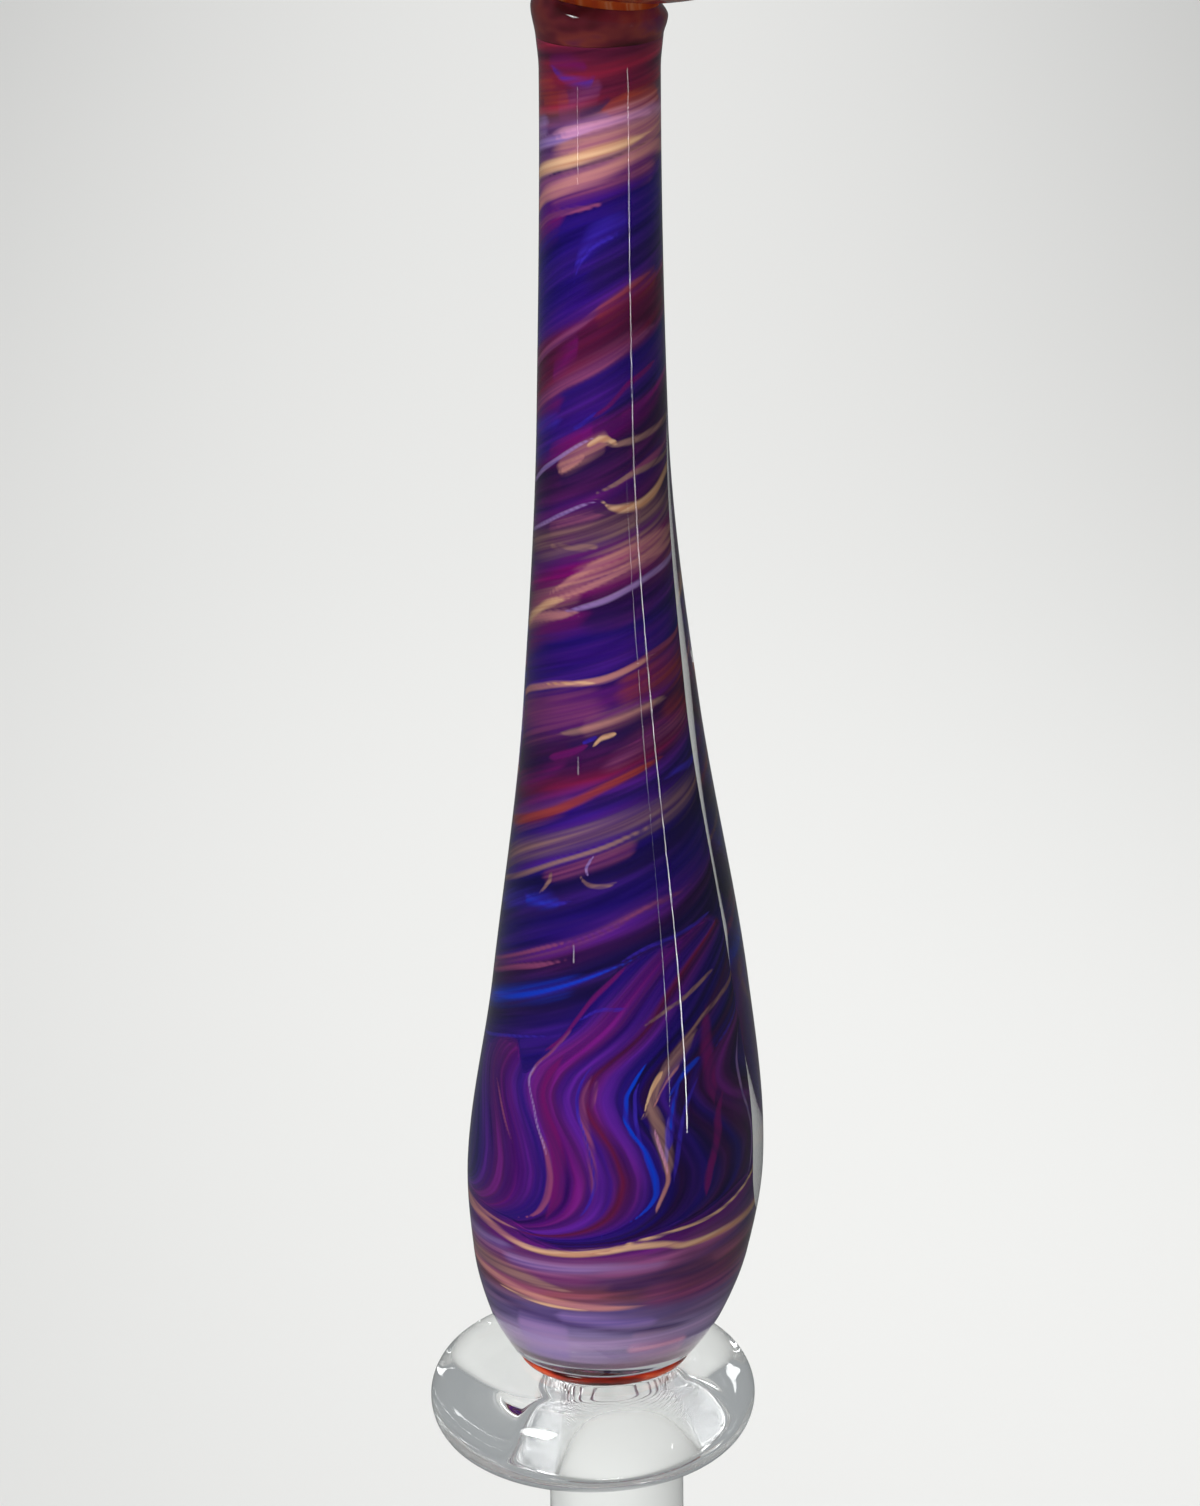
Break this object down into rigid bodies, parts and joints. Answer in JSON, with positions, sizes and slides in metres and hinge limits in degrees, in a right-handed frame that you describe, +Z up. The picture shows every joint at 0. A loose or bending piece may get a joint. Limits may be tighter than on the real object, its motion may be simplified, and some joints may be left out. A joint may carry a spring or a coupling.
{
  "type": "mushroom plant stake",
  "caption": "Glass mushroom on a rod for a plant pot: domed cap, bulb-footed stem with a swirled core in a clear casing, clear soil disc and round-ended rod.",
  "frame": {"origin": "on the rod's axis at the soil line, the flat underside of the clear disc", "axes": "+Z up along the rod and stem, +X to the right and -Y to the front as pictured"},
  "size_m": [0.0357, 0.036, 0.2107],
  "materials": {
    "clear_glass": "clear, fire-polished",
    "swirl_glass": "swirled purple, blue and amber",
    "red_glass": "red-orange, fire-polished",
    "wine_glass": "dark wine red, fire-polished",
    "amber_glass": "amber red with darker swirls"
  },
  "bodies": {
    "root": {"stake_rod": "clear_glass", "soil_disc": "clear_glass", "base_weld": "red_glass", "stem_casing": "clear_glass", "stem_core": "swirl_glass", "neck_weld": "wine_glass", "cap_casing": "clear_glass", "cap_core": "amber_glass"}
  },
  "joints": []
}
